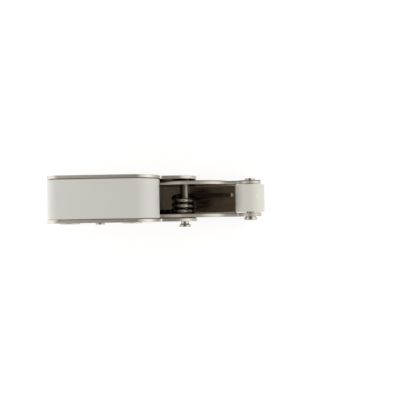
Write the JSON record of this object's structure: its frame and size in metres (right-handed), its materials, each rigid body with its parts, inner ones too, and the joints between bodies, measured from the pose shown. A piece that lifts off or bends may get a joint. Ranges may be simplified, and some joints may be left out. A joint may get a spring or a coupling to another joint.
{
  "type": "touch latch",
  "caption": "Push-to-open cabinet latch: folded metal case with a moulded cover and a sprung swinging arm that carries a plastic roller.",
  "frame": {"origin": "underside of the case floor, mid-width, below the front fixing bore", "axes": "+X towards the roller, +Y across the pins, +Z out of the open side of the case"},
  "size_m": [0.07, 0.0168, 0.0197],
  "materials": {
    "case_plate": "bright nickel plate",
    "cover_moulding": "satin moulded",
    "arm_plate": "polished nickel plate",
    "pin_steel": "turned, plated",
    "eyelet_plate": "rolled, plated",
    "spacer_steel": "plain drawn tube",
    "roller_plastic": "smooth moulded",
    "cam_plastic": "satin moulded",
    "spring_wire": "drawn wire"
  },
  "bodies": {
    "case": {"case": "case_plate", "cover": "cover_moulding", "pivot_pin": "pin_steel", "front_eyelet": "eyelet_plate", "rear_eyelet": "eyelet_plate", "front_spacer_left": "spacer_steel", "front_spacer_right": "spacer_steel", "rear_spacer": "spacer_steel", "spring_post": "pin_steel", "torsion_spring": "spring_wire", "catch_spring": "spring_wire"},
    "arm": {"swing_arm": "arm_plate", "roller_pin": "pin_steel", "catch_stud_left": "pin_steel", "catch_stud_right": "pin_steel"},
    "roller": {"roller": "roller_plastic"},
    "cam": {"heart_cam": "cam_plastic"}
  },
  "joints": [
    {"name": "arm_swing", "type": "hinge", "parent": "case", "child": "arm", "pos_m": [0.0168, 0, 0.0066], "axis": [0, -1, 0], "range_deg": [0, 12], "stiffness_Nm_per_rad": 0.05, "springref_deg": -14.32, "deforming": ["torsion_spring"]},
    {"name": "roller_spin", "type": "hinge", "parent": "arm", "child": "roller", "pos_m": [0.0387, -0.00025, 0.0047], "axis": [0, 1, 0], "continuous": true},
    {"name": "catch_swing", "type": "hinge", "parent": "case", "child": "cam", "pos_m": [0, 0, 0.0131], "axis": [0, -1, 0], "range_deg": [0, 6]}
  ],
  "couplings": [
    {"joint": "catch_swing", "follows": "arm_swing", "ratio": 0.5}
  ]
}
